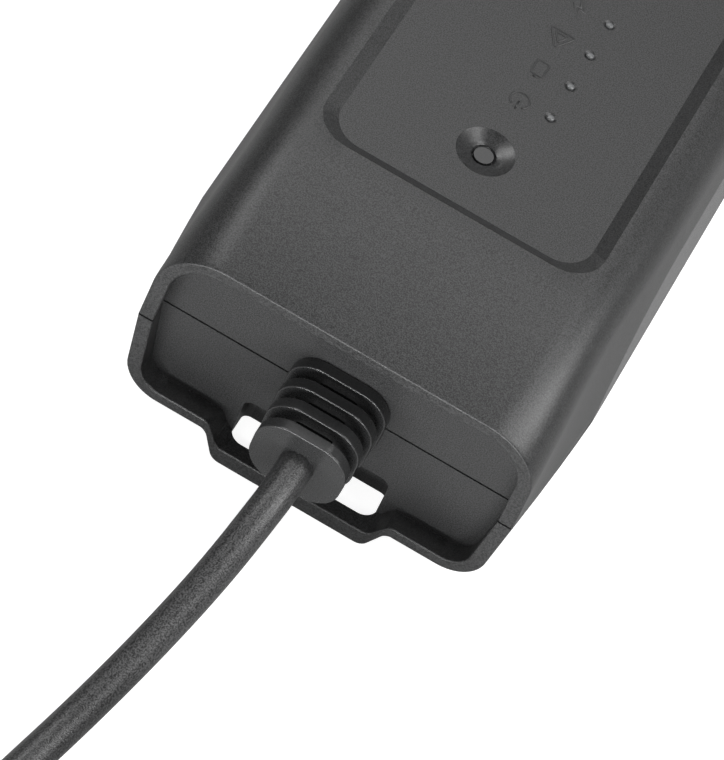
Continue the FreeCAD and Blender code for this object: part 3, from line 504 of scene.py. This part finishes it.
def bead(form, points, closed, width, height, level):
    """Low raised line with a rounded back along points in the panel's plane."""
    count = len(points)
    sharpest = 0.4
    rows = []
    for index, point in enumerate(points):
        before = points[index - 1] if index or closed else point
        after = points[(index + 1) % count] if index + 1 < count or closed else point
        ways = [(Vector(b) - Vector(a)).normalized() for a, b in ((before, point), (point, after)) if a != b]
        way = sum(ways, Vector((0.0, 0.0))).normalized()
        across = Vector((way.y, -way.x))
        mitre = width / max(abs(way.dot(ways[0])), sharpest)
        rows.append([form.verts.new((point[0] + across.x * mitre * side,
                                     point[1] + across.y * mitre * side,
                                     level + height * rise)) for side, rise in LINE_SECTION])
    pairs = list(zip(rows, rows[1:])) + ([(rows[-1], rows[0])] if closed else [])
    for one, other in pairs:
        for a in range(len(LINE_SECTION)):
            b = (a + 1) % len(LINE_SECTION)
            form.faces.new((one[a], one[b], other[b], other[a]))
    if not closed:
        form.faces.new(rows[0])
        form.faces.new(list(reversed(rows[-1])))


def arc(centre, radius, start, end, steps):
    """Points on an arc; angles are degrees, counted from +X towards +Y."""
    turns = [math.radians(start + (end - start) * index / steps) for index in range(steps + 1)]
    return [(centre[0] + radius * math.cos(turn), centre[1] + radius * math.sin(turn)) for turn in turns]


def rounded(corners, radius):
    """Closed outline through corners, with each corner rounded."""
    steps = 4
    points = []
    for index, corner in enumerate(corners):
        here = Vector(corner)
        back = (Vector(corners[index - 1]) - here).normalized()
        ahead = (Vector(corners[(index + 1) % len(corners)]) - here).normalized()
        reach = radius / math.tan(back.angle(ahead) / 2)
        for step in range(steps + 1):
            share = step / steps
            near = here + back * reach * (1 - share) ** 2 + ahead * reach * share ** 2
            points.append((near.x, near.y))
    return points


class CHARGER_OT_symbols(bpy.types.Operator):
    """Raised symbols on the panel: on and off, battery, fault, charging"""
    bl_idname = "charger.symbols"
    bl_label = "Panel symbols"

    def execute(self, context):
        look = context.scene.charger_panel
        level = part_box("light_pipes")[1].z
        x = look.symbol_offset
        colour = tuple(context.scene.charger_housing.colour)
        plastic = finish("Symbol plastic", colour, 0.42, grain=0.0003, relief=0.00002, flecks=0.2)
        rows = [look.first_light + look.pitch * index for index in range(LIGHT_COUNT)]

        def outline(row, *spots):
            """Points of a symbol, from millimetres across and along its row."""
            return [(x + across * MM, rows[row] + along * MM) for across, along in spots]

        cell = outline(1, (-1.7, -2.3), (1.7, -2.3), (1.7, 2.6), (-1.7, 2.6))
        outer = outline(2, (0.0, -3.6), (3.5, 2.4), (-3.5, 2.4))
        inner = outline(2, (0.0, -1.5), (1.7, 1.4), (-1.7, 1.4))
        bolt = outline(3, (0.8, -3.4), (-1.7, 0.4), (0.2, 0.2), (-0.8, 3.4), (1.8, -0.6), (-0.1, -0.4))
        lines = {
            "on_off_symbol": [(arc((x, rows[0]), 2.6 * MM, -58.0, 238.0, 40), False),
                              (outline(0, (0.0, -3.3), (0.0, -0.4)), False)],
            "battery_symbol": [(rounded(cell, 0.5 * MM), True),
                               (outline(1, (-0.7, -3.1), (0.7, -3.1)), False)],
            "fault_symbol": [(rounded(outer, 0.5 * MM), True), (rounded(inner, 0.25 * MM), True)],
            "charging_symbol": [(bolt, True)],
        }
        for name, strokes in lines.items():
            form = bmesh.new()
            for points, closed in strokes:
                bead(form, points, closed, look.symbol_width, look.symbol_height, level)
            add_piece(name, mesh_of(form, name), plastic, "housing")
        return {"FINISHED"}


class CHARGER_OT_lights(bpy.types.Operator):
    """Frosted windows of the four lights, each with a low dome"""
    bl_idname = "charger.lights"
    bl_label = "Light windows"

    def execute(self, context):
        look = context.scene.charger_panel
        clear = finish("Frosted light window", tuple(look.light_colour), 0.25, grain=0.0002, relief=0.000004,
                       flecks=0.1, Coat_Weight=0.15)
        dress("light_pipes", clear)
        low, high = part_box("light_pipes")
        form = bmesh.new()
        rings, sides, radius, rise = 5, 20, 0.94 * MM, 0.3 * MM
        x = (low.x + high.x) / 2
        for index in range(LIGHT_COUNT):
            y = look.first_light + look.pitch * index
            rows = []
            for ring in range(rings):
                lean = math.pi / 2 * ring / rings
                spread, lift = radius * math.cos(lean), rise * math.sin(lean)
                rows.append([form.verts.new((x + spread * math.cos(2 * math.pi * side / sides),
                                             y + spread * math.sin(2 * math.pi * side / sides),
                                             high.z + lift)) for side in range(sides)])
            top = form.verts.new((x, y, high.z + rise))
            for one, other in zip(rows, rows[1:]):
                for a in range(sides):
                    b = (a + 1) % sides
                    form.faces.new((one[a], one[b], other[b], other[a]))
            for a in range(sides):
                form.faces.new((rows[-1][a], rows[-1][(a + 1) % sides], top))
            form.faces.new(list(reversed(rows[0])))
        add_piece("light_domes", mesh_of(form, "light_domes"), clear, "housing")
        return {"FINISHED"}


class CHARGER_OT_boot(bpy.types.Operator):
    """Satin rubber on the ribbed boots, the gasket and the bushing of the vehicle lead"""
    bl_idname = "charger.boot"
    bl_label = "Boot finish"

    def execute(self, context):
        look = context.scene.charger_lead
        rubber = finish("Boot rubber", tuple(look.boot_colour), look.boot_roughness, grain=0.00035,
                        relief=0.00002, flecks=0.3, IOR=1.53)
        for node in ("strain_relief", "output_gland", "shell_gasket", "plug_strain_relief"):
            dress(node, rubber)
        return {"FINISHED"}


def coil_points():
    """Control points of the two turns, the second lying on the first."""
    points = []
    low, high = COIL_LEVELS
    for step in range(2 * COIL_STEPS + 1):
        turn = math.pi + 2 * math.pi * step / COIL_STEPS
        climb = min(max((step - CLIMB_START) / CLIMB_STEPS, 0.0), 1.0)
        x = COIL_CENTRE[0] + COIL_RADIUS * math.cos(turn)
        y = COIL_CENTRE[1] + COIL_RADIUS * math.sin(turn)
        points.append((x, y, low + (high - low) * climb))
    return points


class CHARGER_OT_lead(bpy.types.Operator):
    """Rubber lead from the boot through its coil to the plug"""
    bl_idname = "charger.lead"
    bl_label = "Mains lead"

    def execute(self, context):
        look = context.scene.charger_lead
        points = LEAD_ROUTE + coil_points() + PLUG_ROUTE
        curve = bpy.data.curves.new("mains_lead", "CURVE")
        curve.dimensions = "3D"
        spline = curve.splines.new("NURBS")
        spline.points.add(len(points) - 1)
        for point, place in zip(spline.points, points):
            point.co = (*place, 1.0)
        spline.order_u = 3
        spline.use_endpoint_u = True
        spline.resolution_u = 8
        curve.bevel_depth = look.thickness / 2
        curve.bevel_resolution = 6
        curve.use_fill_caps = True
        rubber = finish("Lead rubber", tuple(look.colour), look.roughness, grain=0.0004, relief=0.00012,
                        flecks=1.7, drift=0.15)
        lead = add_piece("mains_lead", curve, rubber, "housing")
        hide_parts("mains_cord", "cord_coil", "plug_lead")
        dress("mains_lead_tail", rubber)
        return {"FINISHED"}


class CHARGER_OT_plug(bpy.types.Operator):
    """Plug body, its pins and contacts, and the strap round the coil"""
    bl_idname = "charger.plug"
    bl_label = "Plug and strap"

    def execute(self, context):
        plastic = finish("Plug plastic", (0.035, 0.035, 0.037), 0.42)
        dress("plug_body", plastic)
        metal = finish("Nickel plating", (0.66, 0.64, 0.6), 0.24, grain=0.0008, relief=0.000003,
                       stretch=(1.0, 0.08, 1.0), flecks=0.1, Metallic=1.0)
        for node in ("plug_pins", "plug_earth_contacts"):
            dress(node, metal)
        weave = finish("Strap weave", (0.02, 0.02, 0.021), 0.85, grain=0.0006, relief=0.0002, flecks=0.6,
                       drift=0.2)
        dress("cord_tie", weave)
        return {"FINISHED"}


# Finishes inside: name, colour, roughness, plain values of the shader, pieces
INNER_FINISHES = [
    ("Screw steel", (0.45, 0.45, 0.46), 0.32, {"Metallic": 1.0},
     ["shell_screws", "clamp_screws", "board_screws", "indicator_screws"]),
    ("Clamp plastic", (0.12, 0.12, 0.12), 0.5, {}, ["cable_clamp"]),
    ("Board laminate", (0.02, 0.12, 0.05), 0.35, {}, ["main_board", "indicator_board"]),
    ("Terminal plastic", (0.03, 0.2, 0.07), 0.5, {}, ["mains_terminal_block", "output_terminal_block"]),
    ("Relay plastic", (0.02, 0.02, 0.022), 0.3, {}, ["live_relay", "neutral_relay"]),
    ("Sensor potting", (0.03, 0.03, 0.035), 0.3, {}, ["leakage_sensor"]),
    ("Transformer tape", (0.55, 0.4, 0.06), 0.45, {}, ["supply_transformer"]),
    ("Capacitor sleeve", (0.02, 0.03, 0.08), 0.3, {}, ["bulk_capacitor"]),
    ("Filter plastic", (0.6, 0.35, 0.03), 0.35, {}, ["filter_capacitors"]),
    ("Varistor coat", (0.02, 0.06, 0.3), 0.35, {}, ["surge_varistor"]),
    ("Fuse metal", (0.6, 0.6, 0.6), 0.25, {"Metallic": 1.0}, ["fuse_link"]),
    ("Chip plastic", (0.015, 0.015, 0.016), 0.55, {}, ["controller_chip", "buzzer"]),
    ("Ribbon plastic", (0.4, 0.4, 0.42), 0.5, {}, ["ribbon_cable"]),
    ("Lamp plastic", (0.75, 0.75, 0.7), 0.2, {}, ["indicator_lights"]),
    ("Switch plastic", (0.02, 0.02, 0.02), 0.4, {}, ["button_switch", "switch_plunger"]),
    ("Live insulation", (0.16, 0.06, 0.02), 0.5, {}, ["live_wire"]),
    ("Neutral insulation", (0.02, 0.08, 0.4), 0.5, {}, ["neutral_wire"]),
    ("Earth insulation", (0.15, 0.4, 0.05), 0.5, {}, ["earth_wire"]),
]


class CHARGER_OT_inside(bpy.types.Operator):
    """Finishes of the boards, relays, wires and screws inside"""
    bl_idname = "charger.inside"
    bl_label = "Inner pieces"

    def execute(self, context):
        for name, colour, roughness, plain, members in INNER_FINISHES:
            material = finish(name, colour, roughness, grain=0.0006, relief=0.00001, **plain)
            for node in members:
                dress(node, material)
        return {"FINISHED"}


def background_share(tree, seen, reflected):
    """White of the background: one share as the camera sees it, another in gloss and through glass."""
    path = tree.nodes.new("ShaderNodeLightPath")
    apart = tree.nodes.new("ShaderNodeMath")
    apart.operation = "MAXIMUM"
    softened = tree.nodes.new("ShaderNodeMath")
    softened.operation = "MULTIPLY"
    softened.inputs[1].default_value = reflected
    share = tree.nodes.new("ShaderNodeMath")
    share.operation = "MULTIPLY_ADD"
    share.inputs[1].default_value = seen
    links = tree.links.new
    links(path.outputs["Is Glossy Ray"], apart.inputs[0])
    links(path.outputs["Is Transmission Ray"], apart.inputs[1])
    links(apart.outputs["Value"], softened.inputs[0])
    links(path.outputs["Is Camera Ray"], share.inputs[0])
    links(softened.outputs["Value"], share.inputs[2])
    return share.outputs["Value"]


def soft_light(name, place, aim, size, power):
    """Area light at a place, turned to its aim, that the camera doesn't see."""
    lamp = bpy.data.lights.new(name, "AREA")
    lamp.shape = "RECTANGLE"
    lamp.size, lamp.size_y = size
    lamp.energy = power
    holder = bpy.data.objects.new(name, lamp)
    bpy.context.scene.collection.objects.link(holder)
    holder.visible_camera = False
    holder.location = place
    holder.rotation_euler = (Vector(aim) - Vector(place)).to_track_quat("-Z", "Y").to_euler()


def add_floor(scene, look):
    """Floor that looks white to the camera and keeps the shadow."""
    form = bmesh.new()
    bmesh.ops.create_grid(form, x_segments=1, y_segments=1, size=look.floor_reach)
    mesh = bpy.data.meshes.new("floor")
    form.to_mesh(mesh)
    form.free()
    floor = bpy.data.objects.new("floor", mesh)
    scene.collection.objects.link(floor)
    paint = bpy.data.materials.new("Floor paint")
    paint.use_nodes = True
    tree = paint.node_tree
    shader = tree.nodes["Principled BSDF"]
    shader.inputs["Base Color"].default_value = (*look.floor_colour, 1.0)
    shader.inputs["Roughness"].default_value = 0.9
    shader.inputs["Specular IOR Level"].default_value = 0.0
    glow = tree.nodes.new("ShaderNodeEmission")
    both = tree.nodes.new("ShaderNodeAddShader")
    links = tree.links.new
    links(background_share(tree, look.floor_glow, look.floor_gloss), glow.inputs["Strength"])
    links(shader.outputs["BSDF"], both.inputs[0])
    links(glow.outputs["Emission"], both.inputs[1])
    links(both.outputs["Shader"], tree.nodes["Material Output"].inputs["Surface"])
    mesh.materials.append(paint)


def add_world(scene, look):
    """White background with a faint light from all round."""
    world = bpy.data.worlds.new("Studio")
    scene.world = world
    world.use_nodes = True
    tree = world.node_tree
    sky = tree.nodes["Background"]
    sky.inputs["Color"].default_value = (1.0, 1.0, 1.0, 1.0)
    sky.inputs["Strength"].default_value = look.ambient
    white = tree.nodes.new("ShaderNodeBackground")
    white.inputs["Color"].default_value = (1.0, 1.0, 1.0, 1.0)
    mix = tree.nodes.new("ShaderNodeMixShader")
    links = tree.links.new
    links(background_share(tree, 1.0, look.sky_gloss), mix.inputs["Fac"])
    links(sky.outputs["Background"], mix.inputs[1])
    links(white.outputs["Background"], mix.inputs[2])
    links(mix.outputs["Shader"], tree.nodes["World Output"].inputs["Surface"])


def add_camera(scene, look):
    """Camera of the photo."""
    camera = bpy.data.cameras.new("photo_camera")
    camera.lens = look.lens
    camera.sensor_width = 36.0
    camera.clip_start = 0.05
    camera.clip_end = 50.0
    holder = bpy.data.objects.new("photo_camera", camera)
    scene.collection.objects.link(holder)
    az, el, roll = look.azimuth, look.elevation, look.roll
    right = Vector((math.cos(az), math.sin(az), 0.0))
    up = Vector((-math.sin(az) * math.sin(el), math.cos(az) * math.sin(el), math.cos(el)))
    back = Vector((math.sin(az) * math.cos(el), -math.cos(az) * math.cos(el), math.sin(el)))
    across = right * math.cos(roll) + up * math.sin(roll)
    upward = up * math.cos(roll) - right * math.sin(roll)
    turn = Matrix((across, upward, back)).transposed().to_4x4()
    holder.matrix_world = Matrix.Translation(look.place) @ turn
    scene.camera = holder


class CHARGER_OT_stage(bpy.types.Operator):
    """White floor, soft lights and the camera"""
    bl_idname = "charger.stage"
    bl_label = "Stage"

    def execute(self, context):
        look = context.scene.charger_stage
        context.scene.view_settings.view_transform = "Standard"
        add_floor(context.scene, look)
        add_world(context.scene, look)
        for name, place, aim, size, power in STAGE_LIGHTS:
            soft_light(name, place, aim, size, power)
        add_camera(context.scene, look)
        return {"FINISHED"}


class CHARGER_PT_panel(bpy.types.Panel):
    """Buttons for each group of pieces"""
    bl_idname = "CHARGER_PT_panel"
    bl_label = "Vehicle charger"
    bl_space_type = "VIEW_3D"
    bl_region_type = "UI"
    bl_category = "Charger"

    def draw(self, context):
        for operator in OPERATORS:
            self.layout.operator(operator.bl_idname)


LOOKS = {"charger_housing": HousingLook, "charger_panel": PanelLook, "charger_lead": LeadLook,
         "charger_stage": StageLook}
OPERATORS = [CHARGER_OT_housing, CHARGER_OT_button, CHARGER_OT_symbols, CHARGER_OT_lights, CHARGER_OT_boot,
             CHARGER_OT_lead, CHARGER_OT_plug, CHARGER_OT_inside, CHARGER_OT_stage]


def register():
    """Add the looks, the operators and the panel to Blender."""
    for kind in [*LOOKS.values(), *OPERATORS, CHARGER_PT_panel]:
        bpy.utils.register_class(kind)
    for name, kind in LOOKS.items():
        setattr(bpy.types.Scene, name, bpy.props.PointerProperty(type=kind))


def unregister():
    """Take them out again."""
    for name in LOOKS:
        delattr(bpy.types.Scene, name)
    for kind in reversed([*LOOKS.values(), *OPERATORS, CHARGER_PT_panel]):
        bpy.utils.unregister_class(kind)


def main():
    """Build every piece in order."""
    register()
    bpy.ops.charger.housing()
    bpy.ops.charger.button()
    bpy.ops.charger.symbols()
    bpy.ops.charger.lights()
    bpy.ops.charger.boot()
    bpy.ops.charger.lead()
    bpy.ops.charger.plug()
    bpy.ops.charger.inside()
    bpy.ops.charger.stage()


if __name__ == "__main__":
    main()
